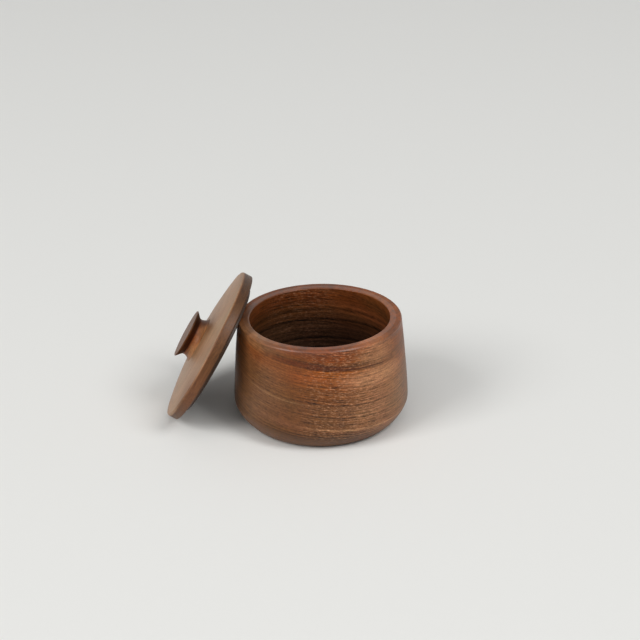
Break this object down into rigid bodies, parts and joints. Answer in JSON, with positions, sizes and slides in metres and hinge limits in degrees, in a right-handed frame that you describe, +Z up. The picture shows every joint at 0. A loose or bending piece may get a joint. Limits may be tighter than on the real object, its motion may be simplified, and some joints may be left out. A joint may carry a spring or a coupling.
{
  "type": "lidded wooden bowl",
  "caption": "Small turned wooden bowl with a bulging wall and a hollow inside, with a loose domed lid and spool knob leaning on its rim.",
  "frame": {"origin": "centre of the bowl's flat base, on the table", "axes": "+Z up along the bowl's own axis; -X towards the leaning lid; +Y away from the viewer of the picture"},
  "size_m": [0.1392, 0.1041, 0.0832],
  "materials": {
    "bowl": "oiled walnut, satin",
    "lid": "oiled walnut, satin",
    "knob": "oiled walnut, satin"
  },
  "bodies": {
    "bowl": {"bowl": "bowl"},
    "lid": {"lid": "lid", "knob": "knob"}
  },
  "joints": [
    {"name": "lid_lift", "type": "slide", "parent": "bowl", "child": "lid", "axis": [-0.8644, 0.0711, 0.4977], "range_m": [0, 0.09]}
  ]
}
